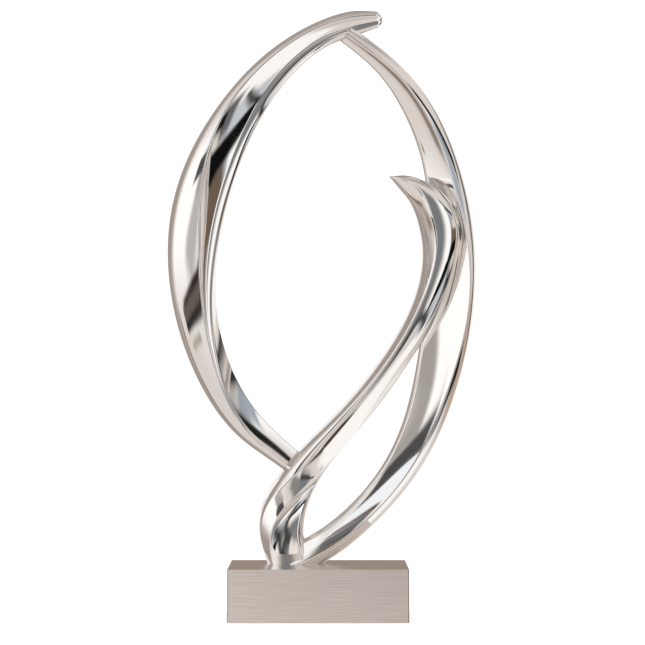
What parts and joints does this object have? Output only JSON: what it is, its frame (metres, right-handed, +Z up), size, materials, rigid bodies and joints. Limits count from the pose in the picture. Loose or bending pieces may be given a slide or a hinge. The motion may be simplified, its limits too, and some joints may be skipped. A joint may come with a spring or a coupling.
{
  "type": "abstract table sculpture",
  "caption": "Abstract table sculpture: a crescent band, a blade-shaped band and an S-shaped band of mirror-polished metal, welded together on a brushed rectangular block.",
  "frame": {"origin": "centre of the block's underside", "axes": "+Z up, the front towards -Y, +X to the right seen from the front"},
  "size_m": [0.3134, 0.09, 0.6124],
  "materials": {
    "brushed_block": "satin, brushed lengthwise",
    "polished_bands": "mirror polish"
  },
  "bodies": {
    "root": {"base_block": "brushed_block", "crescent_band": "polished_bands", "blade_band": "polished_bands", "s_band": "polished_bands"}
  },
  "joints": []
}
